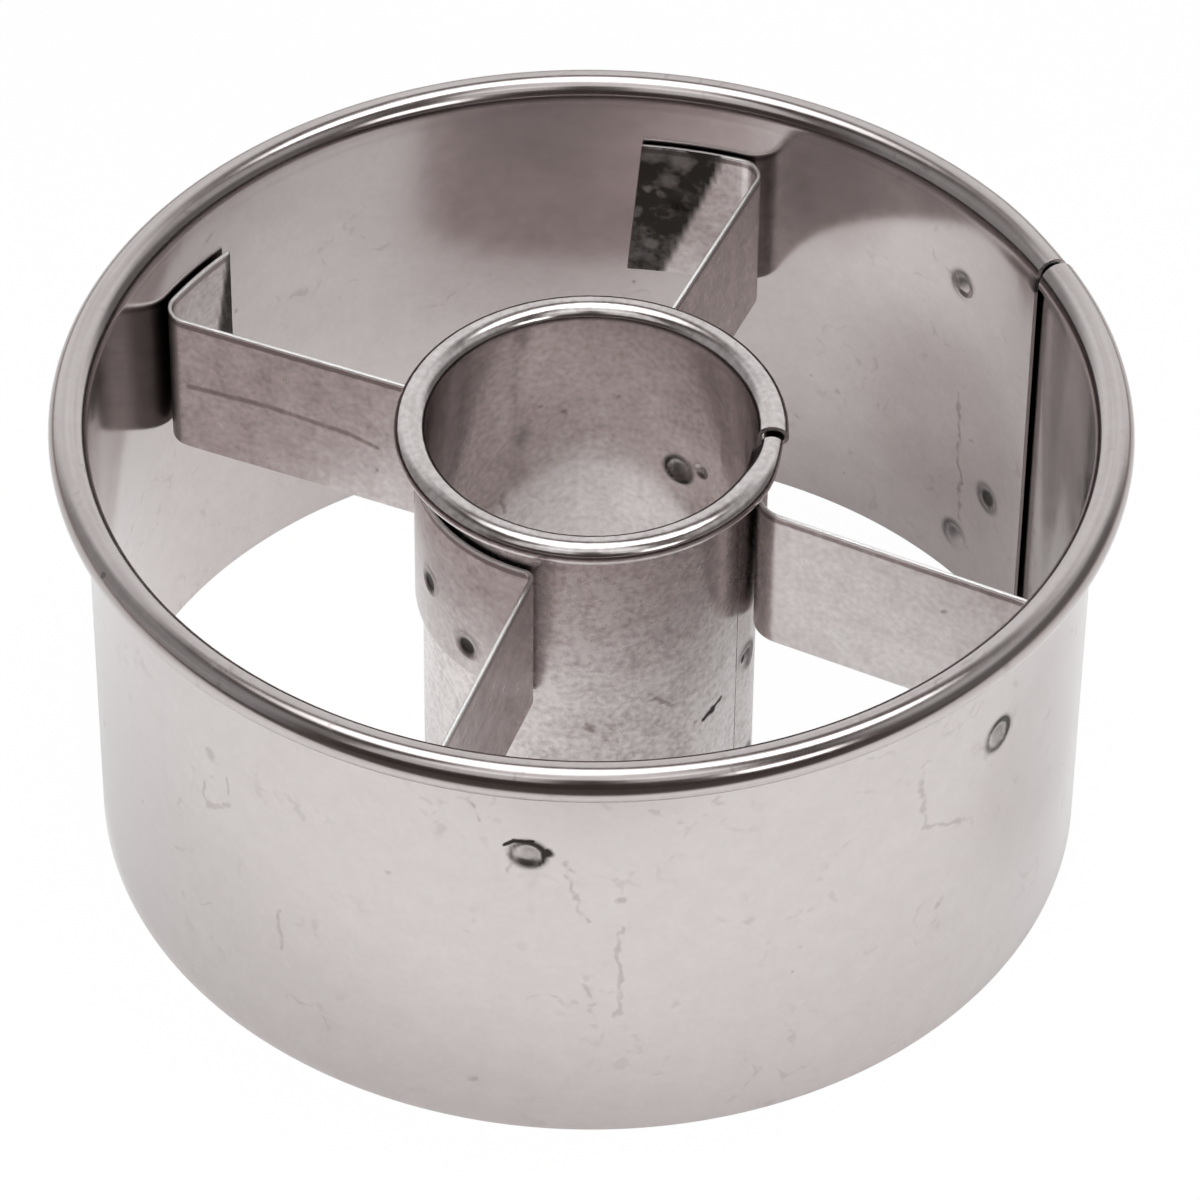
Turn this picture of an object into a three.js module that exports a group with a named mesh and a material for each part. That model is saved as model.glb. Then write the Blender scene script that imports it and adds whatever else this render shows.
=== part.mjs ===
// A doughnut cutter: a large and a small ring rolled from thin sheet metal, one inside the other, held
// together by two bent bridge strips. Every joint is a spot weld, so nothing moves.
// Millimetres, +Z up. The origin is the centre of the lower cutting rims. Azimuth 0 is +X, and
// azimuths grow towards +Y.
import * as THREE from 'three';

const { degToRad, lerp, smoothstep } = THREE.MathUtils;

// Sheet, welds and facets
const SHEET = 0.4; // thickness of the sheet metal
const SHEET_GAP = 0.3; // space between two layers that a weld joins
const NUGGET_DIAMETER = 2.4; // of the fused spot between two layers
const NUGGET_CLEARANCE = 0.05; // between a nugget and each layer
const FACET_SAG = 0.025; // how far a flat facet may lie inside its true arc
const CURL_STEPS = 10; // facets round a rolled bead
const TAIL_STEPS = 4; // facets along the lapped end of a ring
const NUGGET_SIDES = 16;
const LEAST_EDGE = 0.05; // corners of an outline closer than this become one

// Rolled rings
const CURL_TURN = degToRad(305); // how far a bead is rolled over, short of touching the wall
const BEAD_GAP = 0.5; // between the two ends of a bead
const NECK = 0.5; // plain wall between a bead and the lapped end below it
const JOGGLE = 8; // length over which a layer steps aside to make room for the lap

const OUTER_DIAMETER = 88.9; // over the wall, the size of the cut
const OUTER_HEIGHT = 45.5; // from the cutting rim to the top of the bead
const OUTER_BEAD_WIDTH = 3.45;
const OUTER_BEAD_HEIGHT = 3.5;
const OUTER_LAP = 13.5; // length of the lapped seam
const OUTER_SEAM_AZIMUTH = 25.9; // where the inner layer ends

const INNER_DIAMETER = 29.9; // over the wall, the size of the hole
const INNER_DROP = 2; // how far its bead lies below the outer ring's bead
const INNER_BEAD_WIDTH = 2.8;
const INNER_BEAD_HEIGHT = 2.3;
const INNER_LAP = 4.8;
const INNER_SEAM_AZIMUTH = -6.5;
const INNER_BEAD_END = 0.68; // size of the tucked end of its bead, against the rest of the bead
const INNER_BEAD_TAPER = 6; // length over which that end narrows

// Bridge strips
const STRIP_HEIGHT = 15;
const FRONT_LEFT_DROP = 2.7; // how far this strip lies below the inner ring's bead
const BACK_RIGHT_DROP = 2.1;
const ROOT_BEND = 3; // bend radius at the inner ring, along the middle of the sheet
const WALL_BEND = 2.2; // bend radius at the outer ring

// The four arms. An arm runs straight between the rings: azimuth is its direction, and aside is how far
// its line passes the centre, towards the stretch of strip that wraps the inner ring. The tab is the
// flat length behind its bend. A weld's place is a share of the tab's length and of the strip's height.
const LEFT_ARM = { name: 'left', azimuth: 157, aside: -2.5, tab: 8.2, weld: { along: 0.6, up: 0.5 } };
const FRONT_ARM = { name: 'front', azimuth: 251, aside: -0.2, tab: 9.5, weld: { along: 0.74, up: 0.67 } };
const RIGHT_ARM = { name: 'right', azimuth: -26.3, aside: 0.4, tab: 9.5, weld: { along: 0.71, up: 0.51 } };
const BACK_ARM = { name: 'back', azimuth: 67, aside: -1.2, tab: 9.5, weld: { along: 0.55, up: 0.6 } };

// Each strip starts at one arm, wraps the inner ring counter-clockwise and ends at the other arm. Its
// wrap's welds are placed by shares of the wrap's length and of the strip's height.
const STRIPS = [
  {
    name: 'front_left',
    start: LEFT_ARM,
    end: FRONT_ARM,
    drop: FRONT_LEFT_DROP,
    wrapWelds: [{ along: 0.56, up: 0.43 }, { along: 0.81, up: 0.2 }],
  },
  {
    name: 'back_right',
    start: RIGHT_ARM,
    end: BACK_ARM,
    drop: BACK_RIGHT_DROP,
    wrapWelds: [{ along: 0.81, up: 0.25 }, { along: 0.94, up: 0.17 }],
  },
];

// The rings. The sheet starts at the seam and turns one way round, and its last stretch laps over its
// first. One of those two stretches steps aside by startShift or endShift, so that they lie clear of
// each other. A seam weld's place is a share of the lap's length and of the plain wall's height.
const LAP_STEP = SHEET + SHEET_GAP;
const OUTER_RING = {
  name: 'outer',
  diameter: OUTER_DIAMETER,
  top: OUTER_HEIGHT,
  beadWidth: OUTER_BEAD_WIDTH,
  beadHeight: OUTER_BEAD_HEIGHT,
  beadEnd: 1,
  beadTaper: JOGGLE,
  lap: OUTER_LAP,
  seam: degToRad(OUTER_SEAM_AZIMUTH),
  turns: 1,
  startShift: 0,
  endShift: LAP_STEP,
  welds: [{ along: 0.79, up: 0.85 }, { along: 0.41, up: 0.31 }, { along: 0.74, up: 0.12 }],
};
const INNER_RING = {
  name: 'inner',
  diameter: INNER_DIAMETER,
  top: OUTER_HEIGHT - INNER_DROP,
  beadWidth: INNER_BEAD_WIDTH,
  beadHeight: INNER_BEAD_HEIGHT,
  beadEnd: INNER_BEAD_END,
  beadTaper: INNER_BEAD_TAPER,
  lap: INNER_LAP,
  seam: degToRad(INNER_SEAM_AZIMUTH),
  turns: -1,
  startShift: -LAP_STEP,
  endShift: 0,
  welds: [{ along: 0.6, up: 0.47 }, { along: 0.5, up: 0.15 }],
};

// What the pieces share
const FULL_TURN = 2 * Math.PI;
const CENTRE = new THREE.Vector2(0, 0);
const TAB_RADIUS = OUTER_DIAMETER / 2 - SHEET - SHEET_GAP - SHEET / 2;
const WRAP_RADIUS = INNER_DIAMETER / 2 + SHEET_GAP + SHEET / 2;

function facetsFor(radius, angle) {
  return Math.ceil(Math.abs(angle) / (2 * Math.acos(1 - FACET_SAG / radius)));
}

function polar(radius, angle) {
  return new THREE.Vector2(radius * Math.cos(angle), radius * Math.sin(angle));
}

function neckHeight(ring) {
  return ring.top - ring.beadHeight - NECK;
}

// Cross-section of a ring as radius and height pairs, counter-clockwise: up the outer face, round the
// inside of the rolled bead, back round its outside and down the inner face.
function ringSection(ring, wallShift, beadScale) {
  const wallInner = ring.diameter / 2 - SHEET + wallShift;
  const beadCentre = new THREE.Vector2(
    ring.diameter / 2 - SHEET + ring.beadWidth / 2,
    ring.top - ring.beadHeight / 2,
  );
  const halfWidth = beadScale * ring.beadWidth / 2;
  const halfHeight = beadScale * ring.beadHeight / 2;
  const insideOfBead = [];
  const outsideOfBead = [];
  for (let step = 0; step <= CURL_STEPS; step++) {
    const angle = Math.PI - CURL_TURN * step / CURL_STEPS;
    const across = Math.cos(angle);
    const up = Math.sin(angle);
    const onInside = new THREE.Vector2((halfWidth - SHEET) * across, (halfHeight - SHEET) * up);
    const onOutside = new THREE.Vector2(halfWidth * across, halfHeight * up);
    insideOfBead.push(onInside.add(beadCentre));
    outsideOfBead.unshift(onOutside.add(beadCentre));
  }
  return [
    new THREE.Vector2(wallInner + SHEET, 0),
    new THREE.Vector2(wallInner + SHEET, neckHeight(ring)),
    ...insideOfBead,
    ...outsideOfBead,
    new THREE.Vector2(wallInner, neckHeight(ring)),
    new THREE.Vector2(wallInner, 0),
  ];
}

// A ring is its section carried once round, stepping aside at the lap. The plain wall below the bead
// runs on past the seam as the lapped tail.
function rolledRing(ring) {
  const radius = ring.diameter / 2;
  const lapAngle = ring.lap / radius;
  const joggleAngle = JOGGLE / radius;
  const beadEndAngle = FULL_TURN - BEAD_GAP / radius;
  const positions = [];
  const triangles = [];

  function wallShiftAt(angle) {
    const settled = smoothstep(angle, lapAngle, lapAngle + joggleAngle);
    const steppedOut = smoothstep(angle, beadEndAngle - joggleAngle, beadEndAngle);
    return ring.startShift * (1 - settled) + ring.endShift * steppedOut;
  }

  function sectionAt(angle) {
    const beadScale = lerp(ring.beadEnd, 1, smoothstep(angle, 0, ring.beadTaper / radius));
    return ringSection(ring, wallShiftAt(angle), beadScale);
  }

  function addLoop(section, angle) {
    return section.map((point) => {
      const place = polar(point.x, ring.seam + ring.turns * angle);
      positions.push(place.x, place.y, point.y);
      return positions.length / 3 - 1;
    });
  }

  function addTriangle(a, b, c) {
    triangles.push(...(ring.turns > 0 ? [a, b, c] : [a, c, b]));
  }

  function addBand(from, to) {
    from.forEach((corner, index) => {
      const next = (index + 1) % from.length;
      addTriangle(corner, to[index], from[next]);
      addTriangle(from[next], to[index], to[next]);
    });
  }

  function addCap(loop, section, facesForward) {
    for (const [a, b, c] of THREE.ShapeUtils.triangulateShape(section, [])) {
      addTriangle(...(facesForward ? [loop[a], loop[c], loop[b]] : [loop[a], loop[b], loop[c]]));
    }
  }

  const stations = facetsFor(radius, beadEndAngle);
  const firstSection = sectionAt(0);
  let loop = addLoop(firstSection, 0);
  addCap(loop, firstSection, false);
  for (let station = 1; station <= stations; station++) {
    const angle = beadEndAngle * station / stations;
    const nextLoop = addLoop(sectionAt(angle), angle);
    addBand(loop, nextLoop);
    loop = nextLoop;
  }

  const lastSection = sectionAt(beadEndAngle);
  addCap(loop.slice(1, -1), lastSection.slice(1, -1), true);
  const wallOnly = (list) => [...list.slice(0, 2), ...list.slice(-2)];
  const tailSection = wallOnly(lastSection);
  let tailLoop = wallOnly(loop);
  for (let step = 1; step <= TAIL_STEPS; step++) {
    const angle = lerp(beadEndAngle, FULL_TURN + lapAngle, step / TAIL_STEPS);
    const nextLoop = addLoop(tailSection, angle);
    addBand(tailLoop, nextLoop);
    tailLoop = nextLoop;
  }
  addCap(tailLoop, tailSection, true);

  const geometry = new THREE.BufferGeometry();
  geometry.setAttribute('position', new THREE.Float32BufferAttribute(positions, 3));
  geometry.setIndex(triangles);
  geometry.computeVertexNormals();
  return geometry;
}

// Where an arm's bends lie. side is 1 where the wrap lies counter-clockwise of the arm and -1 where it
// lies clockwise. The tab always turns the other way.
function armBends(arm, side) {
  const azimuth = degToRad(arm.azimuth);
  const rootDistance = WRAP_RADIUS + ROOT_BEND;
  const wallDistance = TAB_RADIUS - WALL_BEND;
  const rootAzimuth = azimuth + side * Math.asin((arm.aside + ROOT_BEND) / rootDistance);
  const wallAzimuth = azimuth - side * Math.asin((WALL_BEND - arm.aside) / wallDistance);
  return {
    azimuth,
    rootAzimuth,
    wallAzimuth,
    tabEnd: wallAzimuth - side * arm.tab / TAB_RADIUS,
    root: polar(rootDistance, rootAzimuth),
    wall: polar(wallDistance, wallAzimuth),
  };
}

// A strip's plan as one run of arcs from tab to tab, joined by the arms' straight stretches. Each arc
// turns to the left or to the right along the run.
function stripArcs(strip) {
  const start = armBends(strip.start, 1);
  const end = armBends(strip.end, -1);
  const quarter = Math.PI / 2;
  return [
    { centre: CENTRE, radius: TAB_RADIUS, from: start.tabEnd, to: start.wallAzimuth, left: true },
    {
      centre: start.wall,
      radius: WALL_BEND,
      from: start.wallAzimuth,
      to: start.azimuth + quarter,
      left: true,
    },
    {
      centre: start.root,
      radius: ROOT_BEND,
      from: start.azimuth - quarter,
      to: start.rootAzimuth - Math.PI,
      left: false,
    },
    { centre: CENTRE, radius: WRAP_RADIUS, from: start.rootAzimuth, to: end.rootAzimuth, left: true },
    {
      centre: end.root,
      radius: ROOT_BEND,
      from: end.rootAzimuth + Math.PI,
      to: end.azimuth + quarter,
      left: false,
    },
    {
      centre: end.wall,
      radius: WALL_BEND,
      from: end.azimuth - quarter,
      to: end.wallAzimuth,
      left: true,
    },
    { centre: CENTRE, radius: TAB_RADIUS, from: end.wallAzimuth, to: end.tabEnd, left: true },
  ];
}

// One face of the strip: the run of arcs moved aside by half the sheet.
function stripFace(arcs, moveLeft) {
  const points = [];
  for (const arc of arcs) {
    const radius = arc.radius + (arc.left === moveLeft ? -SHEET : SHEET) / 2;
    const facets = facetsFor(arc.radius, arc.to - arc.from);
    for (let facet = 0; facet <= facets; facet++) {
      const point = polar(radius, lerp(arc.from, arc.to, facet / facets)).add(arc.centre);
      const last = points[points.length - 1];
      if (!last || last.distanceTo(point) > LEAST_EDGE) {
        points.push(point);
      }
    }
  }
  return points;
}

function bridgeStrip(strip) {
  const arcs = stripArcs(strip);
  const outline = [...stripFace(arcs, true), ...stripFace(arcs, false).reverse()];
  return new THREE.ExtrudeGeometry(new THREE.Shape(outline), { depth: STRIP_HEIGHT, bevelEnabled: false });
}

// A weld nugget is a thin round pad between two layers, bent to their curve.
function weldNugget(innerLayerRadius, azimuth, height) {
  const nuggetRadius = NUGGET_DIAMETER / 2;
  const thickness = SHEET_GAP - 2 * NUGGET_CLEARANCE;
  const pad = new THREE.CylinderGeometry(nuggetRadius, nuggetRadius, thickness, NUGGET_SIDES);
  const corners = pad.attributes.position;
  for (let corner = 0; corner < corners.count; corner++) {
    const radius = innerLayerRadius + SHEET_GAP / 2 + corners.getY(corner);
    const place = polar(radius, azimuth + corners.getX(corner) / radius);
    corners.setXYZ(corner, place.x, place.y, height - corners.getZ(corner));
  }
  pad.computeVertexNormals();
  return pad;
}

// The assembly
const cutter = new THREE.Group();

function addPiece(name, geometry, finish) {
  const mesh = new THREE.Mesh(geometry, new THREE.MeshStandardMaterial(finish));
  mesh.name = name;
  cutter.add(mesh);
  return mesh;
}

const RING_FINISH = { color: 0xcbc6c3, metalness: 1, roughness: 0.3 };
const STRIP_FINISH = { color: 0xc4c1bb, metalness: 1, roughness: 0.35 };
const WELD_FINISH = { color: 0x7d7672, metalness: 1, roughness: 0.55 };

for (const ring of [OUTER_RING, INNER_RING]) {
  addPiece(`${ring.name}_ring`, rolledRing(ring), RING_FINISH);
  const innerLayerRadius = ring.diameter / 2 + ring.startShift;
  ring.welds.forEach((weld, index) => {
    const azimuth = ring.seam + ring.turns * weld.along * ring.lap / (ring.diameter / 2);
    const nugget = weldNugget(innerLayerRadius, azimuth, weld.up * neckHeight(ring));
    addPiece(`${ring.name}_seam_weld_${index + 1}`, nugget, WELD_FINISH);
  });
}

for (const strip of STRIPS) {
  const bottom = INNER_RING.top - INNER_BEAD_HEIGHT - strip.drop - STRIP_HEIGHT;
  addPiece(`${strip.name}_strip`, bridgeStrip(strip), STRIP_FINISH).position.z = bottom;
  const start = armBends(strip.start, 1);
  const end = armBends(strip.end, -1);
  strip.wrapWelds.forEach((weld, index) => {
    const azimuth = lerp(start.rootAzimuth, end.rootAzimuth, weld.along);
    const nugget = weldNugget(INNER_DIAMETER / 2, azimuth, bottom + weld.up * STRIP_HEIGHT);
    addPiece(`${strip.name}_wrap_weld_${index + 1}`, nugget, WELD_FINISH);
  });
  for (const [arm, bends] of [[strip.start, start], [strip.end, end]]) {
    const azimuth = lerp(bends.wallAzimuth, bends.tabEnd, arm.weld.along);
    const nugget = weldNugget(TAB_RADIUS + SHEET / 2, azimuth, bottom + arm.weld.up * STRIP_HEIGHT);
    addPiece(`${arm.name}_tab_weld`, nugget, WELD_FINISH);
  }
}

export default cutter;
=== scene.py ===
import math

import bmesh
import bpy
import numpy as np
from mathutils import Matrix, Vector


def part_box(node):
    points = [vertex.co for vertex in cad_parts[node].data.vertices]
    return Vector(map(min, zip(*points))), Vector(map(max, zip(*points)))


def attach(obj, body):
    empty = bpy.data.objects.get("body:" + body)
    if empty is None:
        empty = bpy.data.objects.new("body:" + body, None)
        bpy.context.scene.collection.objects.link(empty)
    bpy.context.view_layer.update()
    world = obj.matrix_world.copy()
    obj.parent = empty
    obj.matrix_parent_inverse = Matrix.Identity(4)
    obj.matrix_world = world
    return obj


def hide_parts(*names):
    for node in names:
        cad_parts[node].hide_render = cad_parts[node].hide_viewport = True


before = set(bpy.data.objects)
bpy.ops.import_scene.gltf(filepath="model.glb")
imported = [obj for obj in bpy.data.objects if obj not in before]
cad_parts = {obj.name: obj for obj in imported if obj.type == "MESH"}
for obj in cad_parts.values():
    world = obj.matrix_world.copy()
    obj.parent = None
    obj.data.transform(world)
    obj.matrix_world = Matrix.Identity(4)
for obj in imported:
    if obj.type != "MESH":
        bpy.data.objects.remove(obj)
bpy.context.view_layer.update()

# Camera. It looks down on the cutter from the front through a long lens, about 0.6 m away, tilted a
# touch to one side. The picture is square, and the lens's axis falls just up and left of its middle.
PICTURE_SIDE = 1200  # pixels
FOCAL_LENGTH = 6805.3  # pixels
AXIS_PIXEL = (589.9, 581.5)
CAMERA_DISTANCE = 0.6093
CAMERA_ELEVATION = math.radians(42.78)
CAMERA_ROLL = math.radians(0.595)
AIM = Vector((0, 0, 0.02397))

lens = bpy.data.cameras.new("camera")
lens.lens = FOCAL_LENGTH / PICTURE_SIDE * lens.sensor_width
lens.shift_x = 0.5 - AXIS_PIXEL[0] / PICTURE_SIDE
lens.shift_y = AXIS_PIXEL[1] / PICTURE_SIDE - 0.5
lens.clip_start = 0.01
camera = bpy.data.objects.new("camera", lens)
tilt = Matrix.Rotation(math.pi / 2 - CAMERA_ELEVATION, 4, "X") @ Matrix.Rotation(CAMERA_ROLL, 4, "Z")
back_off = CAMERA_DISTANCE * Vector((0, -math.cos(CAMERA_ELEVATION), math.sin(CAMERA_ELEVATION)))
camera.matrix_world = Matrix.Translation(AIM + back_off) @ tilt
bpy.context.scene.collection.objects.link(camera)
bpy.context.scene.camera = camera


# Studio. One round soft lamp hangs almost straight above and a smaller one to the right. Soft boxes stand
# left and right of the camera, one hangs over it and a small bright one stands low on the right. The walls
# beside and behind are pale, and the camera's own side is dark. Bearings are in degrees from the camera's
# side, to the right, and elevations from the floor.
LAMPS = [
    {"bearing": -145, "elevation": 82, "radius": 18, "glow": 2.85},
    {"bearing": 108, "elevation": 70, "radius": 9, "glow": 6.0},
]
LAMP_EDGE = 10  # degrees over which a lamp fades out
SOFT_BOXES = [
    {"bearing": -28.5, "half_width": 21, "low": 28, "high": 58, "glow": 0.75},
    {"bearing": 22, "half_width": 14, "low": 33, "high": 58, "glow": 0.75},
    {"bearing": 0, "half_width": 40, "low": 52, "high": 78, "glow": 0.9},
    {"bearing": 38, "half_width": 10, "low": 16, "high": 30, "glow": 3.6},
]
SOFT_BOX_EDGE = 4
WALLS = {
    "left": {"from": -130, "to": -57, "low": -10, "high": 52, "glow": 0.36},
    "right": {"from": 57, "to": 130, "low": -10, "high": 28, "glow": 0.16},
    "upper right": {"from": 57, "to": 130, "low": 28, "high": 52, "glow": 0.5},
    "back right": {"from": 130, "to": 210, "low": -45, "high": 52, "glow": 0.9},
    "back left": {"from": -210, "to": -130, "low": -45, "high": 52, "glow": 0.9},
}
WALL_EDGE = 25
WALL_TOP_EDGE = 15
DIMMEST = 0.08  # glow of the dark side
BRIGHTER = 4 * DIMMEST  # glow from which on it has the lamps' white
DIM_TINT = (1, 0.8, 0.72, 1)
LAMP_WHITE = (0.985, 1, 1, 1)
SEEN_BACKDROP = (0.93, 0.93, 0.93, 1)
CONTRAST = [(0.1, 0.074), (0.19, 0.152), (0.26, 0.232), (0.35, 0.338), (0.5, 0.5)]  # darker shadows
DEGREES = 180 / math.pi  # in a radian
MIRROR_BOUNCES = 8


class Wire:
    """A socket of a node tree. Arithmetic on wires adds Math nodes to the tree."""

    def __init__(self, tree, socket=None):
        self.tree = tree
        self.socket = socket

    def node(self, kind, settings=None, sockets=None, output=None):
        made = self.tree.nodes.new(kind)
        for name, value in (settings or {}).items():
            setattr(made, name, value)
        for key, value in (sockets or {}).items():
            socket = made.inputs[key]
            if isinstance(key, str):
                socket = next(one for one in made.inputs if one.name == key and one.enabled)
            if isinstance(value, Wire):
                self.tree.links.new(value.socket, socket)
            else:
                socket.default_value = value
        outputs = [one for one in made.outputs if one.enabled and output in (None, one.name)]
        return Wire(self.tree, outputs[0] if outputs else None)

    def math(self, operation, *values):
        return self.node("ShaderNodeMath", {"operation": operation}, dict(enumerate(values)))

    def vector(self, operation, *values):
        return self.node("ShaderNodeVectorMath", {"operation": operation}, dict(enumerate(values)))

    def sibling(self, output):
        """Another output of the same node."""
        return Wire(self.tree, self.socket.node.outputs[output])

    def part(self, axis):
        return self.node("ShaderNodeSeparateXYZ", {}, {"Vector": self}, axis)

    def __add__(self, other):
        return self.math("ADD", self, other)

    def __radd__(self, other):
        return self.math("ADD", other, self)

    def __sub__(self, other):
        return self.math("SUBTRACT", self, other)

    def __rsub__(self, other):
        return self.math("SUBTRACT", other, self)

    def __mul__(self, other):
        return self.math("MULTIPLY", self, other)

    def __rmul__(self, other):
        return self.math("MULTIPLY", other, self)

    def __abs__(self):
        return self.math("ABSOLUTE", self)


def fade(value, start, end):
    """0 at start and before it, 1 at end and past it, and smooth between them."""
    limits = {"From Min": start, "From Max": end, "Value": value}
    return value.node("ShaderNodeMapRange", {"interpolation_type": "SMOOTHSTEP"}, limits)


def inside(value, low, high, edge):
    """1 between low and high, fading to 0 over the edge on either side."""
    return fade(value, low - edge / 2, low + edge / 2) * fade(value, high + edge / 2, high - edge / 2)


world = bpy.data.worlds.new("studio")
world.use_nodes = True
world.node_tree.nodes.clear()
studio = Wire(world.node_tree)
direction = studio.node("ShaderNodeTexCoord", output="Generated")
bearing = studio.math("ARCTAN2", direction.part("X"), 0 - direction.part("Y")) * DEGREES
elevation = studio.math("ARCSINE", direction.part("Z")) * DEGREES
glow = elevation * 0 + DIMMEST
for lamp in LAMPS:
    turned, raised = math.radians(lamp["bearing"]), math.radians(lamp["elevation"])
    level = math.cos(raised)
    axis = (math.sin(turned) * level, -math.cos(turned) * level, math.sin(raised))
    aside = studio.math("ARCCOSINE", direction.vector("DOT_PRODUCT", direction, axis)) * DEGREES
    in_lamp = fade(aside, lamp["radius"] + LAMP_EDGE / 2, lamp["radius"] - LAMP_EDGE / 2)
    glow = glow + in_lamp * lamp["glow"]
for box in SOFT_BOXES:
    left, right = box["bearing"] - box["half_width"], box["bearing"] + box["half_width"]
    in_height = inside(elevation, box["low"], box["high"], SOFT_BOX_EDGE)
    glow = glow + inside(bearing, left, right, SOFT_BOX_EDGE) * in_height * box["glow"]
for wall in WALLS.values():
    in_height = inside(elevation, wall["low"], wall["high"], WALL_TOP_EDGE)
    glow = glow + inside(bearing, wall["from"], wall["to"], WALL_EDGE) * in_height * wall["glow"]
tints = {"Factor": fade(glow, DIMMEST, BRIGHTER), "A": DIM_TINT, "B": LAMP_WHITE}
tint = studio.node("ShaderNodeMix", {"data_type": "RGBA"}, tints)
surroundings = studio.node("ShaderNodeBackground", {}, {"Color": tint, "Strength": glow})
backdrop = studio.node("ShaderNodeBackground", {}, {"Color": SEEN_BACKDROP})
seen = studio.node("ShaderNodeLightPath", output="Is Camera Ray")
mixed = studio.node("ShaderNodeMixShader", {}, {0: seen, 1: surroundings, 2: backdrop})
studio.node("ShaderNodeOutputWorld", {}, {"Surface": mixed})
bpy.context.scene.world = world
picture = bpy.context.scene.view_settings
picture.view_transform = "Standard"
picture.use_curve_mapping = True
for brightness, shown in CONTRAST:
    picture.curve_mapping.curves[3].points.new(brightness, shown)
picture.curve_mapping.update()
bpy.context.scene.cycles.glossy_bounces = MIRROR_BOUNCES


# Floor. A wide table top of matt white board that also glows a little round the cutter, as a light table
# does. It is duller farther out, and dark from a little way before the cutter on. The glow leans to the
# left inside the cutter and to the front around it. The camera sees the board cleaned up, nearly white
# with only a trace of shadow.
FLOOR_RADIUS = 3.0
FLOOR_DROP = 0.00005  # just under the cutting rims
FLOOR_SIDES = 96
FLOOR_WHITE = (0.86, 0.86, 0.86, 1)
FLOOR_FAR = (0.42, 0.37, 0.35, 1)
FAR_FADE = (0.15, 0.45)  # distances between which it turns from one to the other
FLOOR_AHEAD = (0.14, 0.12, 0.11, 1)
AHEAD_FADE = (0.075, 0.12)  # how far before the cutter's middle it turns dark
GLOW_INSIDE = 0.42
GLOW_LEAN_LEFT = 5.5  # to the metre
GLOW_AROUND = 0.28
GLOW_LEAN_FRONT = 2.6
GLOW_BORDER = 0.0444  # radius between the two
GLOW_BORDER_EDGE = 0.002
GLOW_REACH = 0.2
FLOOR_SEEN = (1, 1, 1, 1)
FLOOR_CLEANED = 0.97  # share of the floor's own shading that the camera doesn't see

floor_mesh = bpy.data.meshes.new("floor")
shape = bmesh.new()
bmesh.ops.create_circle(shape, cap_ends=True, segments=FLOOR_SIDES, radius=FLOOR_RADIUS)
shape.to_mesh(floor_mesh)
shape.free()
floor = bpy.data.objects.new("floor", floor_mesh)
floor.location.z = -FLOOR_DROP
bpy.context.scene.collection.objects.link(floor)
board = bpy.data.materials.new("white_board")
board.use_nodes = True
board.node_tree.nodes.clear()
board_wire = Wire(board.node_tree)
place = board_wire.node("ShaderNodeNewGeometry", output="Position")
distance = place.vector("LENGTH", place)
far_tints = {"Factor": fade(distance, *FAR_FADE), "A": FLOOR_WHITE, "B": FLOOR_FAR}
far_tint = board_wire.node("ShaderNodeMix", {"data_type": "RGBA"}, far_tints)
ahead = fade(0 - place.part("Y"), *AHEAD_FADE)
board_tints = {"Factor": ahead, "A": far_tint, "B": FLOOR_AHEAD}
board_tint = board_wire.node("ShaderNodeMix", {"data_type": "RGBA"}, board_tints)
matt = board_wire.node("ShaderNodeBsdfDiffuse", {}, {"Color": board_tint})
within = fade(distance, GLOW_BORDER + GLOW_BORDER_EDGE / 2, GLOW_BORDER - GLOW_BORDER_EDGE / 2)
glow_inside = GLOW_INSIDE - place.part("X") * GLOW_LEAN_LEFT
glow_around = (GLOW_AROUND - place.part("Y") * GLOW_LEAN_FRONT) * fade(distance, GLOW_REACH, GLOW_BORDER)
floor_glow = within * glow_inside + (1 - within) * glow_around * (1 - ahead)
floor_glow = board_wire.math("MAXIMUM", floor_glow, 0)
scaled = {0: LAMP_WHITE[:3], "Scale": floor_glow}
glow_colour = board_wire.node("ShaderNodeVectorMath", {"operation": "SCALE"}, scaled)
lit_below = board_wire.node("ShaderNodeEmission", {}, {"Color": glow_colour})
real_board = board_wire.node("ShaderNodeAddShader", {}, {0: matt, 1: lit_below})
clean_board = board_wire.node("ShaderNodeEmission", {}, {"Color": FLOOR_SEEN})
cleaned = board_wire.node("ShaderNodeLightPath", output="Is Camera Ray") * FLOOR_CLEANED
board_finish = board_wire.node("ShaderNodeMixShader", {}, {0: cleaned, 1: real_board, 2: clean_board})
board_wire.node("ShaderNodeOutputMaterial", {}, {"Surface": board_finish})
floor_mesh.materials.append(board)


# Outer ring. A strip of thin tinned sheet rolled round, its ends lapped and spot-welded. The top edge
# is curled outwards into a hollow bead, and the bottom edge is left plain to cut.
SHEET = 0.0004
SHEET_GAP = 0.0003  # between two layers that a weld joins
NECK = 0.0001  # plain wall between a bead and the lapped end below it
JOGGLE = 0.008  # length over which a layer steps aside for the lap
BEAD_GAP = 0.0008
CURL_TURN = math.radians(305)
CURL_ROWS = 38
THROAT_ROWS = 8
COARSE_STEP = 0.0013
FINE_STEP = 0.0003
RIM_ROUNDING = 0.00006
ROUNDING_STEPS = 3
ROUNDED_CORNER = math.radians(50)  # sharper edges than this are rounded
FULL_TURN = 2 * math.pi

WELD_REACH = 0.0026  # radius that a weld marks
DENT_DEPTH = 0.00014
DENT_FLOOR = 0.0007  # radius of a dent's flat floor
DENT_BRIM = 0.0017  # radius where its slope ends
DENT_RIM = 0.00004  # height of the metal squeezed up round it
DENT_RIM_WIDTH = 0.00035
BURN_WIDTH = 0.0004  # of the scorched ring round a dent
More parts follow.
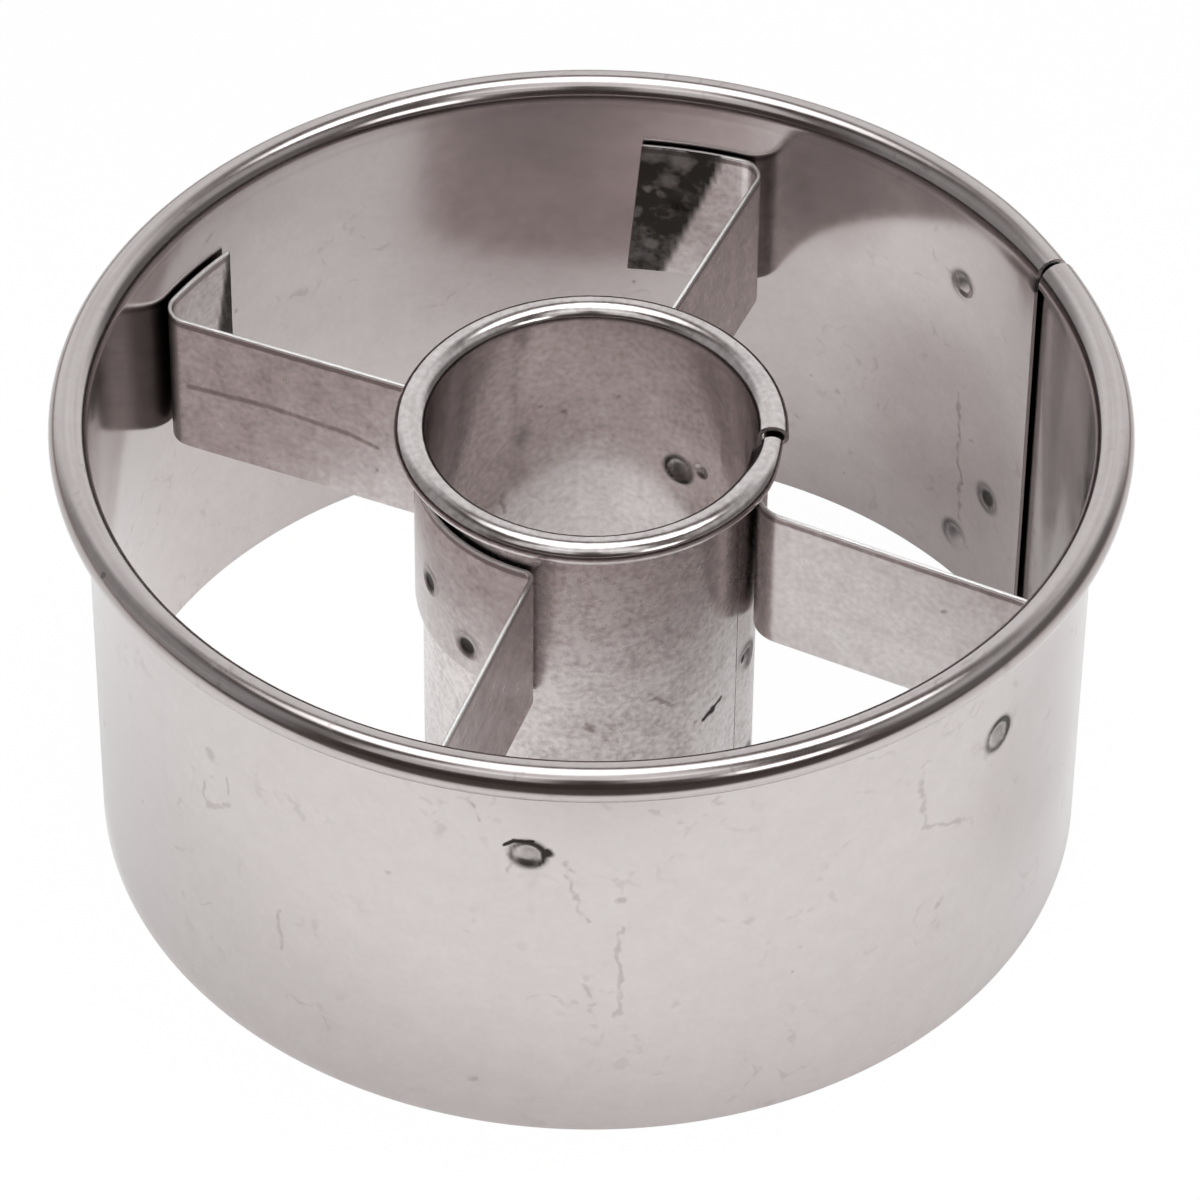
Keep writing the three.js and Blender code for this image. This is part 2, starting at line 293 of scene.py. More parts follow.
# a weld's size as a share of the full one, how dark its ring and floor are, in which direction it is
# darkest, in degrees from the counter-clockwise way, and how much lighter its other side is; the dark
# and light sides are painted shade of the dent
PLAIN_BURN_AND_SHADING = {"size": 0.82, "ring": 0.9, "core": 1.0, "lean": 45, "lopsided": 0.48}
BURNS_AND_SHADING = {
    "front_tab_weld": {"size": 0.82, "ring": 1.2, "core": 0.55, "lean": 30, "lopsided": 0.25},
    "right_tab_weld": {"size": 0.9, "ring": 1.3, "core": 0.6, "lean": 60, "lopsided": 0.2},
    "left_tab_weld": {"size": 0.6, "ring": 0.2, "core": 0.2, "lean": 0, "lopsided": 0.2},
    "outer_seam_weld_2": {"size": 0.8, "ring": 0.7, "core": 1.3, "lean": -60, "lopsided": 0.15},
    "front_left_wrap_weld_1": {"size": 0.72, "ring": 0.3, "core": 1.5, "lean": 90, "lopsided": 0.1},
    "front_left_wrap_weld_2": {"size": 0.72, "ring": 0.3, "core": 1.5, "lean": 90, "lopsided": 0.1},
    "back_right_wrap_weld_1": {"size": 0.5, "ring": 0.15, "core": 0.5, "lean": 90, "lopsided": 0.2},
    "back_right_wrap_weld_2": {"size": 0.8, "ring": 1.1, "core": 0.9, "lean": -45, "lopsided": 0.15},
}

OUTER = {
    "name": "rolled_outer_ring",
    "radius": 0.04445,
    "top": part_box("outer_ring")[1].z,
    "bead": (0.00345, 0.0035),
    "seam": math.radians(25.9),
    "turns": 1,  # the sheet runs counter-clockwise from its seam
    "lap": 0.0135,
    "shifts": (0, SHEET + SHEET_GAP),
    "tuck": (0.9, 0.01),
    "feather": (1, 0, 0.002),
}
OUTER_SEAM_WELDS = ["outer_seam_weld_1", "outer_seam_weld_2", "outer_seam_weld_3"]
TAB_WELDS = ["left_tab_weld", "front_tab_weld", "right_tab_weld", "back_tab_weld"]


def smooth(value, start, end):
    share = np.clip((value - start) / (end - start), 0, 1)
    return share * share * (3 - 2 * share)


def weld_place(node):
    """Azimuth and height of the middle of a weld."""
    low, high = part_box(node)
    middle = (low + high) / 2
    return math.atan2(middle.y, middle.x), middle.z


def steps(start, end, spots):
    """Places from start to end, coarse ones with fine ones round each spot."""
    count = math.ceil((end - start) / COARSE_STEP)
    places = list(np.linspace(start, end, count + 1))
    for spot in spots:
        places += list(np.arange(spot - WELD_REACH, spot + WELD_REACH, FINE_STEP))
    kept = [start]
    for place in sorted(places):
        if place - kept[-1] > FINE_STEP / 2 and end - place > FINE_STEP / 2:
            kept.append(place)
    return np.array(kept + [end])


def dent(node, distance):
    """How deep a weld's dent is at a distance from its middle."""
    distance = distance / BURNS_AND_SHADING.get(node, PLAIN_BURN_AND_SHADING)["size"]
    hollow = DENT_DEPTH * (1 - smooth(distance, DENT_FLOOR, DENT_BRIM))
    rim = DENT_RIM * np.exp(-(((distance - DENT_BRIM) / DENT_RIM_WIDTH) ** 2))
    return hollow - rim


def weld_scorch_and_shade(node, across, up):
    """How far a weld has darkened the metal: a ring round its dent and its floor, darker on one side as
    painted shade.
    """
    scorch_and_shade = BURNS_AND_SHADING.get(node, PLAIN_BURN_AND_SHADING)
    across, up = across / scorch_and_shade["size"], up / scorch_and_shade["size"]
    distance = np.hypot(across, up)
    lean = math.radians(scorch_and_shade["lean"])
    toward = (across * math.cos(lean) + up * math.sin(lean)) / np.maximum(distance, DENT_FLOOR)
    ring = scorch_and_shade["ring"] * np.exp(-(((distance - DENT_BRIM) / BURN_WIDTH) ** 2))
    core = scorch_and_shade["core"] * (1 - smooth(distance, DENT_FLOOR, DENT_BRIM))
    # one side of each mark is painted darker and the other lighter, as the dent's shading
    return np.maximum(ring, core) * (1 - scorch_and_shade["lopsided"] * (1 - toward))


def sheet_piece(name, middle, normals, blank, scorch_and_shade, present, rounding_width):
    """A sheet of even thickness round a grid of middle points, closed at its edges.

    blank gives each grid point's place on the flat sheet before bending, scorch_and_shade the scorching
    and painted shade of either face, and present says which cells of the grid hold sheet. The length of a
    normal is the sheet's share of its full thickness there.
    """
    count = middle.shape[0] * middle.shape[1]
    corners = np.arange(count).reshape(middle.shape[:2])
    places = np.concatenate([(middle + side * normals * SHEET / 2).reshape(-1, 3) for side in (1, -1)])
    faces = []
    for i, j in zip(*np.nonzero(present)):
        loop = [corners[i, j], corners[i + 1, j], corners[i + 1, j + 1], corners[i, j + 1]]
        faces.append([int(corner) for corner in loop])
        faces.append([int(corner + count) for corner in reversed(loop)])
        neighbours = [(i, j - 1), (i + 1, j), (i, j + 1), (i - 1, j)]
        for side, (ni, nj) in enumerate(neighbours):
            within = 0 <= ni < present.shape[0] and 0 <= nj < present.shape[1]
            if not (within and present[ni, nj]):
                a, b = int(loop[side]), int(loop[(side + 1) % 4])
                faces.append([b, a, a + count, b + count])
    mesh = bpy.data.meshes.new(name)
    mesh.from_pydata(places.tolist(), [], faces)
    pages = [np.column_stack([blank.reshape(-1, 2), np.full(count, face)]) for face in (0, 1)]
    flat = np.concatenate(pages)
    mesh.attributes.new("blank", "FLOAT_VECTOR", "POINT").data.foreach_set("vector", flat.ravel())
    mesh.attributes.new("scorch_and_shade", "FLOAT", "POINT").data.foreach_set("value", np.ravel(scorch_and_shade))
    shape = bmesh.new()
    shape.from_mesh(mesh)
    bmesh.ops.delete(shape, geom=[v for v in shape.verts if not v.link_faces], context="VERTS")
    bmesh.ops.recalc_face_normals(shape, faces=shape.faces)
    shape.to_mesh(mesh)
    shape.free()
    mesh.shade_smooth()
    piece = bpy.data.objects.new(name, mesh)
    bpy.context.scene.collection.objects.link(piece)
    rounding = piece.modifiers.new("rounding", "BEVEL")
    rounding.width = rounding_width
    rounding.segments = ROUNDING_STEPS
    rounding.limit_method = "ANGLE"
    rounding.angle_limit = ROUNDED_CORNER
    rounding.harden_normals = True
    return piece


def seam_dents(nodes, ring):
    """The dents that a ring's seam welds press into the sheet's first and last stretch."""
    found = []
    for node in nodes:
        azimuth, level = weld_place(node)
        place = ring["turns"] * (azimuth - ring["seam"]) % FULL_TURN
        found += [(node, place, level, 1), (node, place + FULL_TURN, level, -1)]
    return found


def face_dents(nodes, ring, way):
    """The dents that other welds press into a ring's wall, inwards or outwards."""
    found = []
    for node in nodes:
        azimuth, level = weld_place(node)
        found.append((node, ring["turns"] * (azimuth - ring["seam"]) % FULL_TURN, level, way))
    return found


def rolled_ring(ring, dents):
    """A ring rolled from sheet. The sheet starts at the seam, and its last stretch laps over its first.

    The ring's bead is its width and height, shifts are how far the first and last stretch step aside,
    tuck is the scale of the bead's first end and the length over which it grows, and feather is the share
    of the sheet's thickness that is left at the end of the lap, how far that end is pressed in, and the
    length over which it thins. The notch below the bead's first end gets painted shade.
    """
    radius, top, lap = ring["radius"], ring["top"], ring["lap"]
    bead_width, bead_height = ring["bead"]
    lap_end = FULL_TURN + lap / radius
    bead_end = FULL_TURN - BEAD_GAP / radius
    spots = [place * radius for node, place, level, way in dents]
    main = steps(0, bead_end * radius, spots)
    lapped = steps(bead_end * radius, lap_end * radius, spots)
    along = np.concatenate([main, lapped[1:]])
    angle = along / radius
    neck = top - bead_height - NECK
    bead_level = top - bead_height / 2
    wall = steps(0, neck, [level for node, place, level, way in dents])
    throat = np.linspace(neck, bead_level, THROAT_ROWS)[1:-1]
    curl = math.pi - np.linspace(0, CURL_TURN, CURL_ROWS)
    in_wall = slice(0, len(wall))
    in_throat = slice(len(wall), len(wall) + len(throat))
    in_curl = slice(len(wall) + len(throat), len(wall) + len(throat) + len(curl))

    settled = smooth(angle, lap / radius, (lap + JOGGLE) / radius)
    stepped = smooth(angle, bead_end - JOGGLE / radius, bead_end)
    shift = ring["shifts"][0] * (1 - settled) + ring["shifts"][1] * stepped
    end_share, pressed_in, end_length = ring["feather"]
    thinned = smooth(angle, lap_end - end_length / radius, lap_end)
    thickness = 1 - (1 - end_share) * thinned
    wall_reach = (radius - SHEET / 2 + shift - SHEET * (1 - thickness) / 2 - pressed_in * thinned)[:, None]
    thin, grown = ring["tuck"]
    scale = (thin + (1 - thin) * smooth(angle, 0, grown / radius))[:, None]
    half_width = scale * bead_width / 2
    half_height = scale * bead_height / 2
    bead_middle = radius - SHEET + bead_width / 2
    curl_start = bead_middle - (half_width - SHEET / 2)

    reach, height, outward, upright, scorch_and_shade = np.zeros((5, len(angle), in_curl.stop))
    reach[:, in_wall] = wall_reach
    height[:, in_wall] = wall
    for node, place, level, way in dents:
        across, up = np.broadcast_arrays((along - place * radius)[:, None], (wall - level)[None, :])
        reach[:, in_wall] += way * dent(node, np.hypot(across, up))
        scorch_and_shade[:, in_wall] = np.maximum(scorch_and_shade[:, in_wall], weld_scorch_and_shade(node, across * ring["turns"], up))
    rise = smooth(throat, neck, bead_level)
    reach[:, in_throat] = wall_reach * (1 - rise) + curl_start * rise
    height[:, in_throat] = throat
    outward[:, :in_throat.stop] = -thickness[:, None]
    # painted shade: the notch below the bead's first end, coloured as scorch
    scorch_and_shade[0, in_throat] = 1
    reach[:, in_curl] = bead_middle + (half_width - SHEET / 2) * np.cos(curl)
    height[:, in_curl] = bead_level + (half_height - SHEET / 2) * np.sin(curl)
    slant = np.hypot(np.cos(curl) * half_height, np.sin(curl) * half_width)
    outward[:, in_curl] = np.cos(curl) * half_height / slant
    upright[:, in_curl] = np.sin(curl) * half_width / slant

    azimuth = (ring["seam"] + ring["turns"] * angle)[:, None]
    middle = np.stack([reach * np.cos(azimuth), reach * np.sin(azimuth), height], axis=2)
    normals = np.stack([outward * np.cos(azimuth), outward * np.sin(azimuth), upright], axis=2)
    row_length = np.concatenate([wall, throat, bead_level + bead_width / 2 * (math.pi - curl)])
    blank = np.stack(np.broadcast_arrays(along[:, None], row_length[None, :]), axis=2)
    present = np.ones((len(angle) - 1, in_curl.stop - 1), bool)
    present[len(main) - 1:, len(wall) - 1:] = False
    return sheet_piece(ring["name"], middle, normals, blank, (scorch_and_shade, scorch_and_shade), present, RIM_ROUNDING)


MILLIMETRES = 1000  # in a metre
PAGE_GAP = 60  # between the inside's and the outside's pattern, so that they don't match
INSIDE, OUTSIDE = 0, 1
DULL = (0.31, 0.263, 0.26, 1)
BRIGHT = (0.72, 0.674, 0.668, 1)
SCORCHED_AND_SHADED = (0.055, 0.047, 0.042, 1)
SHEARED_EDGE_HIGHLIGHT = (0.97, 0.95, 0.94, 1)
STAIN_WAVES = 0.07  # to the millimetre, as for all the waves here
MOTTLE_WAVES = 0.42
FINE_WAVES = 1.6
BEAD_WAVES = (0.04, 1.8, 1)
BEAD_STREAKS = 0.25
# painted shade: the bead is made duller than the wall, though it is the same metal
BEAD_DIMMER = 0.06
BEAD_ROUGHER = 0.05
CURL_WAVES = 0.13
CURL_WIDTH = 0.05
RUB_WAVES = (0.9, 0.07, 1)
PATCH_WAVES = 0.09
BREAK_WAVES = 0.7
WOBBLE_WAVES = 0.45
RUB_SHADES = (0.3, 0.55)  # shades between which a pattern sets in, as for the next four
PATCH_SHADES = (-0.1, 0.25)
BREAK_SHADES = (-0.1, 0.3)
SCRATCH_SHADES = (-0.4, 0.15)
PITTED_SHADES = (-0.25, 0.2)
SCRATCH_WOBBLE = 2.2  # millimetres that a scratch strays from its straight line
SCORCH_WOBBLE = 0.9
CUT_EDGE = 0.25  # width of a strip's sheared edge, painted bright as a highlight
EDGE_SHADOW_WIDTH = 0.5  # and of the painted shadow line below it
EDGE_SHADOW = 0.8  # how much darker that painted shadow line is
CUT_ROUGHER = 0.08
SOOTY = (0.6, 0.9)  # scorching between which a sheared edge loses its painted highlight
STAIN = 0.24  # how much duller a broad stain is, and a patch of painted shade
FLECK = 0.27  # share of the scorching that is rubbed off at a fleck
SCORCH_BROAD, SCORCH_MIDDLE, SCORCH_FINE = 0.4, 0.5, 0.25  # shares of the shades in scorched metal
SCORCH_ROUGHER = 0.15
BROAD_SHARE = 0.5  # of the broad shades in the mottling
PIT_CELLS = 0.24  # to the millimetre
PIT_SHARE = 0.55  # of the cells have no pit
PIT_SIZE = 0.16
SCRATCH_WIDTH = 0.34
SCRATCH_ROUGHER = 0.1
LINE_CORE = 1 / 4  # share of a line's width, and of a spot's radius, in which it is full
SPOT_CORE = 1 / 3
REFLECTION_LINE_WIDTH = 0.42
REFLECTION_LINE_DARKNESS = 0.45  # how much darker a painted reflection line is
BUMP_HEIGHT = 0.00001
MOTTLE_BUMP, FINE_BUMP, PIT_BUMP = 0.12, 0.03, 0.4  # shares of it


def noise(page, waves, detail=3):
    """Random shades about 0, mostly between -0.5 and 0.5."""
    place = page.vector("MULTIPLY", page, waves if isinstance(waves, tuple) else (waves, waves, 1))
    sockets = {"Vector": place, "Scale": 1, "Detail": detail}
    return (page.node("ShaderNodeTexNoise", {}, sockets, "Fac") - 0.5) * 2


def pits(page, stains):
    """1 in small round pits, which gather where the sheet is stained."""
    distance = page.node("ShaderNodeTexVoronoi", {}, {"Vector": page, "Scale": PIT_CELLS}, "Distance")
    chance = distance.sibling("Color").part("X")
    radius = page.math("MAXIMUM", chance - PIT_SHARE, 0) * PIT_SIZE
    hole = page.math("LESS_THAN", distance, radius)
    return hole * fade(stains, *PITTED_SHADES)


def handling_marks(page):
    """Faint curling scratches and upright rubs, which gather in patches and are broken up."""
    curls = fade(abs(noise(page, CURL_WAVES, 2)), CURL_WIDTH, CURL_WIDTH / 3)
    rubs = fade(noise(page, RUB_WAVES, 2), *RUB_SHADES)
    patches = fade(noise(page, PATCH_WAVES, 1), *PATCH_SHADES)
    broken = fade(noise(page, BREAK_WAVES, 2), *BREAK_SHADES)
    return page.math("MAXIMUM", curls, rubs) * patches * broken


def strayed(page, wobble):
    """The page with each place moved a little at random, so that straight lines wobble."""
    stray = page.node("ShaderNodeTexNoise", {}, {"Vector": page, "Scale": WOBBLE_WAVES}, "Color")
    stray = page.vector("MULTIPLY", stray.vector("SUBTRACT", stray, (0.5, 0.5, 0.5)), (wobble, wobble, 0))
    return page.vector("ADD", page, stray)


def drawn(page, lines, spots, width=SCRATCH_WIDTH):
    """1 on lines and round spots that are set one by one, 0 elsewhere."""
    total = page.part("X") * 0
    for line in lines:
        for start, end in zip(line, line[1:]):
            run = end - start
            offset = page.vector("SUBTRACT", page, start)
            share = page.vector("DOT_PRODUCT", offset, run / run.length_squared)
            share = page.math("MINIMUM", page.math("MAXIMUM", share, 0), 1)
            nearest = page.node("ShaderNodeVectorMath", {"operation": "SCALE"}, {0: run, "Scale": share})
            beside = page.vector("DISTANCE", offset, nearest)
            total = page.math("MAXIMUM", total, fade(beside, width, width * LINE_CORE))
    for place, radius in spots:
        beside = page.vector("DISTANCE", page, place)
        total = page.math("MAXIMUM", total, fade(beside, radius, radius * SPOT_CORE))
    return total


def tinned_sheet(look):
    """Tinned steel: a grey mirror dulled by handling, with pits, scratches, scorched welds, and some
    painted light and shade.

    The look's pairs hold for the inside and the outside. Brightness goes from 0, dull, to 1, bright.
    grain is the share of the finest mottling, bead gives the rows between which the wall's finish turns
    into the bead's, and cut_row is the row of a sheared edge, which gets a painted highlight with a
    painted shadow line below it. Stains are broad dull places, some of them painted shade,
    reflection_lines are straight dull lines painted as reflections, charred_lines and charred_spots are
    scorched apart from the welds, and flecks are bare places in scorched metal.
    """
    finish = bpy.data.materials.new(look["name"])
    finish.use_nodes = True
    finish.node_tree.nodes.clear()
    wire = Wire(finish.node_tree)
    blank = wire.node("ShaderNodeAttribute", {"attribute_name": "blank"}, output="Vector")
    page = blank.vector("MULTIPLY", blank, (MILLIMETRES, MILLIMETRES, PAGE_GAP))
    scorch_and_shade = wire.node("ShaderNodeAttribute", {"attribute_name": "scorch_and_shade"}, output="Fac")
    face = blank.part("Z")

    def either_face(pair):
        return pair[INSIDE] + face * (pair[OUTSIDE] - pair[INSIDE])

    stains = noise(page, STAIN_WAVES)
    mottle = noise(page, MOTTLE_WAVES)
    fine = noise(page, FINE_WAVES)
    holes = pits(page, stains)
    wobbly, scorch_page = strayed(page, SCRATCH_WOBBLE), strayed(page, SCORCH_WOBBLE)
    broken = fade(noise(page, BREAK_WAVES, 2), *SCRATCH_SHADES)
    worn = drawn(wobbly, look["lines"], look["spots"]) * broken
    if look["handled"]:
        worn = wire.math("MAXIMUM", worn, handling_marks(wobbly) * look["handled"])
    charred_and_shaded = wire.math("MAXIMUM", scorch_and_shade, drawn(scorch_page, look["charred_lines"], look["charred_spots"]))
    bared = drawn(scorch_page, [], look["flecks"]) * FLECK
    charred_and_shaded = charred_and_shaded * (1 + stains * SCORCH_BROAD + mottle * SCORCH_MIDDLE + fine * SCORCH_FINE)
    charred_and_shaded = wire.math("MINIMUM", charred_and_shaded * (1 - bared), 1)

    uneven = stains * BROAD_SHARE + mottle + fine * look["grain"]
    bright = either_face(look["brightness"]) + uneven * either_face(look["mottling"])
    bright = bright - holes * look["pitting"] - worn * look["scratching"]
    bright = bright - drawn(wobbly, [], look["stains"]) * STAIN
    # painted reflections of straight edges, drawn as dull lines
    bright = bright - drawn(page, look["reflection_lines"], [], REFLECTION_LINE_WIDTH) * REFLECTION_LINE_DARKNESS
    rough = either_face(look["roughness"]) + mottle * look["unevenness"]
    rough = rough + charred_and_shaded * SCORCH_ROUGHER + worn * SCRATCH_ROUGHER
    # a strip's top edge gets a painted highlight, with a painted shadow line below it
    if look["cut_row"]:
        below = look["cut_row"] - page.part("Y")
        cut_and_highlight = fade(below, CUT_EDGE, CUT_EDGE / 3) * (1 - fade(charred_and_shaded, *SOOTY))
        bright = bright - inside(below, CUT_EDGE, CUT_EDGE + EDGE_SHADOW_WIDTH, CUT_EDGE) * EDGE_SHADOW
        rough = rough + cut_and_highlight * CUT_ROUGHER
    if look["bead"]:
        bead = fade(page.part("Y"), *look["bead"])
        streaks = noise(page, BEAD_WAVES)
        bright = bright + bead * (streaks * BEAD_STREAKS - BEAD_DIMMER)
        rough = rough + bead * (streaks * BEAD_ROUGHER + BEAD_ROUGHER)
    bare = wire.node("ShaderNodeMix", {"data_type": "RGBA"}, {"Factor": bright, "A": DULL, "B": BRIGHT})
    # the scorch colour also paints shade: the dark side of weld dents and the notch below a bead's first
    # end
    layers = {"Factor": charred_and_shaded, "A": bare, "B": SCORCHED_AND_SHADED}
    colour = wire.node("ShaderNodeMix", {"data_type": "RGBA"}, layers)
    if look["cut_row"]:
        layers = {"Factor": cut_and_highlight, "A": colour, "B": SHEARED_EDGE_HIGHLIGHT}
        colour = wire.node("ShaderNodeMix", {"data_type": "RGBA"}, layers)
    height = stains + mottle * MOTTLE_BUMP + fine * FINE_BUMP - holes * PIT_BUMP
    bump = wire.node("ShaderNodeBump", {}, {"Height": height, "Distance": BUMP_HEIGHT, "Strength": 1})
    metal = wire.node("ShaderNodeBsdfPrincipled", {}, {
        "Base Color": colour,
        "Metallic": 1.0,
        "Roughness": rough,
        "Normal": bump,
    })
    wire.node("ShaderNodeOutputMaterial", {}, {"Surface": metal})
    return finish


def ring_page(ring, face, azimuth, level):
    """A place on a ring's wall, given in degrees and millimetres, as a place on its sheet's page."""
    turned = ring["turns"] * (math.radians(azimuth) - ring["seam"]) % FULL_TURN
    return Vector((turned * ring["radius"] * MILLIMETRES, level, face * PAGE_GAP))


# the deeper scratches on the ring's outside and inside, by azimuth and height
OUTER_SCRATCHES = [
    (OUTSIDE, [(-137.6, 28.0), (-137.8, 24.8), (-134.0, 26.7), (-133.8, 30.4)]),
    (OUTSIDE, [(-126.7, 17.8), (-126.7, 13.2)]),
    (OUTSIDE, [(-102.1, 38.7), (-101.9, 36.7)]),
    (OUTSIDE, [(-98.5, 33.4), (-98.4, 31.9)]),
    (OUTSIDE, [(-92.3, 33.0), (-91.8, 31.5), (-90.7, 27.9), (-90.0, 26.1)]),
    (OUTSIDE, [(-86.4, 25.2), (-86.3, 14.3)]),
    (OUTSIDE, [(-90.2, 18.2), (-89.3, 15.9)]),
    (OUTSIDE, [(-50.5, 33.7), (-49.6, 27.4), (-43.4, 24.7)]),
    (OUTSIDE, [(118.0, 30.0), (119.5, 17.0)]),
    (INSIDE, [(39.4, 22.1), (37.9, 7.3)]),
    (INSIDE, [(200.0, 30.0), (203.0, 16.0)]),
]
# scuffs and larger pits, by azimuth, height and radius
OUTER_SCUFFS = [
    (OUTSIDE, -136.5, 31.7, 0.9),
    (OUTSIDE, -111.8, 28.2, 0.5),
    (OUTSIDE, -86.2, 28.6, 0.6),
    (OUTSIDE, -102.9, 5.6, 0.7),
    (OUTSIDE, -46.8, 15.7, 0.5),
    (INSIDE, 58.3, 14.2, 0.5),
    (INSIDE, 52.1, 14.8, 0.4),
    (INSIDE, 63.5, 9.5, 0.4),
    (INSIDE, 62.2, 15.1, 0.35),
    (INSIDE, 56.0, 7.2, 0.4),
    (INSIDE, 39.0, 17.2, 0.35),
    (INSIDE, 36.8, 18.1, 0.35),
    (INSIDE, 107.1, 28.4, 0.25),
]
# broad stains, likewise, and one patch of painted shade
OUTER_STAINS = [
    (INSIDE, 97.0, 30.0, 18),
    (INSIDE, 60.5, 38.0, 9),
    (INSIDE, 40.0, 17.0, 17),
    (INSIDE, 13.0, 26.0, 13),
    # painted shade: a dull patch on the outside, on the right
    (OUTSIDE, -24.0, 25.0, 19),
]
# scorched metal beside the front tab's weld
SPLASH_LINES = [[(-98.9, 34.5), (-97.8, 35.0), (-96.0, 35.0)]]
SPLASH = (-94.3, 33.8, 0.75)
OUTER_LOOK = {
    "name": "outer_tinned_sheet",
    # painted light: the same sheet is brighter outside than inside, standing in for the brighter light it
    # reflects
    "brightness": (0.57, 0.65),
    "mottling": (0.08, 0.07),
    "grain": 0.8,
    "roughness": (0.135, 0.15),
    "unevenness": 0.03,
    "pitting": 0.4,
    "scratching": 0.24,
    "handled": 0.6,
    "bead": (41.5, 43.5),
    "cut_row": None,
    "lines": [[ring_page(OUTER, face, *spot) for spot in line] for face, line in OUTER_SCRATCHES],
    "spots": [(ring_page(OUTER, *spot), radius) for *spot, radius in OUTER_SCUFFS],
    "stains": [(ring_page(OUTER, *spot), radius) for *spot, radius in OUTER_STAINS],
    "reflection_lines": [],
    "charred_lines": [[ring_page(OUTER, OUTSIDE, *spot) for spot in line] for line in SPLASH_LINES],
    "charred_spots": [(ring_page(OUTER, OUTSIDE, *SPLASH[:2]), SPLASH[2])],
    "flecks": [(ring_page(OUTER, OUTSIDE, -96.0, 33.6), 0.6)],
}

outer_ring = rolled_ring(OUTER, seam_dents(OUTER_SEAM_WELDS, OUTER) + face_dents(TAB_WELDS, OUTER, -1))
outer_ring.data.materials.append(tinned_sheet(OUTER_LOOK))
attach(outer_ring, "root")
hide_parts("outer_ring")


# Inner ring. It is rolled like the outer one, but turned the other way, and one end of its bead is
# squeezed thinner and tucked into the other. The end of its lap is pressed thin.
INNER_LAP_GAP = 0.00006
INNER = {
    "name": "rolled_inner_ring",
    "radius": 0.01495,
    "top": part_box("inner_ring")[1].z,
    "bead": (0.0028, 0.0023),
    "seam": math.radians(-6.5),
    "turns": -1,
    "lap": 0.0048,
    "shifts": (-SHEET - INNER_LAP_GAP, 0),
    "tuck": (0.68, 0.006),
    "feather": (0.05, 0.00005, 0.003),
}
INNER_SEAM_WELDS = ["inner_seam_weld_1", "inner_seam_weld_2"]
FRONT_LEFT_WRAP_WELDS = ["front_left_wrap_weld_1", "front_left_wrap_weld_2"]
BACK_RIGHT_WRAP_WELDS = ["back_right_wrap_weld_1", "back_right_wrap_weld_2"]
WRAP_WELDS = FRONT_LEFT_WRAP_WELDS + BACK_RIGHT_WRAP_WELDS
INNER_SCRATCHES = [
    (OUTSIDE, [(-67.0, 22.5), (-57.3, 20.8)]),
    (OUTSIDE, [(-50.5, 17.8), (-37.5, 18.0)]),
    (INSIDE, [(123.7, 23.2), (123.7, 20.7)]),
]
INNER_SCUFFS = [
    (OUTSIDE, -43.0, 17.9, 0.6),
    (OUTSIDE, -90.0, 20.2, 0.7),
    (INSIDE, 108.3, 32.6, 0.35),
    (INSIDE, 99.9, 31.4, 0.5),
    (INSIDE, 80.3, 33.4, 0.4),
    (INSIDE, 107.2, 28.7, 0.35),
    (INSIDE, 82.3, 28.3, 0.3),
    (INSIDE, 131.1, 33.0, 0.3),
]
# soot on the outside
INNER_SMEARS = [[(-46.5, 17.4), (-41.5, 17.8), (-36.5, 18.2)]]
INNER_SOOT = [(-41.5, 17.7, 0.65), (-20.0, 19.5, 0.8)]
# the patch on the outside is painted shade, low on the tube's front
INNER_STAINS = [(INSIDE, 43.0, 35.0, 7), (OUTSIDE, -85.0, 16.0, 11)]
INNER_LOOK = {
    "name": "inner_tinned_sheet",
    "brightness": (0.75, 0.82),
    "mottling": (0.25, 0.4),
    "grain": 1.5,
    "roughness": (0.14, 0.27),
    "unevenness": 0.05,
    "pitting": 0.4,
    "scratching": 0.45,
    "handled": 0.3,
    "bead": (40.7, 42.2),
    "cut_row": None,
    "lines": [[ring_page(INNER, face, *spot) for spot in line] for face, line in INNER_SCRATCHES],
    "spots": [(ring_page(INNER, *spot), radius) for *spot, radius in INNER_SCUFFS],
    "stains": [(ring_page(INNER, *spot), radius) for *spot, radius in INNER_STAINS],
    "reflection_lines": [],
    "charred_lines": [[ring_page(INNER, OUTSIDE, *spot) for spot in line] for line in INNER_SMEARS],
    "charred_spots": [(ring_page(INNER, OUTSIDE, *spot), radius) for *spot, radius in INNER_SOOT],
    "flecks": [],
}

inner_ring = rolled_ring(INNER, seam_dents(INNER_SEAM_WELDS, INNER) + face_dents(WRAP_WELDS, INNER, 1))
inner_ring.data.materials.append(tinned_sheet(INNER_LOOK))
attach(inner_ring, "root")
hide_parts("inner_ring")


# Bridge strips. Each is one flat strip bent into a shallow hook: a tab against the outer ring, an arm, a
# wrap round the inner ring, a second arm and a second tab. Both are spot-welded in place, soot from the
# welding has stayed on the back tab, and the left tab is darker towards its end.
ROOT_BEND = 0.003
SHARP_BEND = 0.0009
WALL_BEND = 0.0022
TAB_RADIUS = OUTER["radius"] - SHEET - SHEET_GAP - SHEET / 2
WRAP_RADIUS = INNER["radius"] + SHEET_GAP + SHEET / 2
STRIP_ROUNDING = 0.00015
ARC_STEPS = 8  # to a bend's radius, at least
TAB_STEP = 0.00045
DARKENING_EDGE = 0.0003
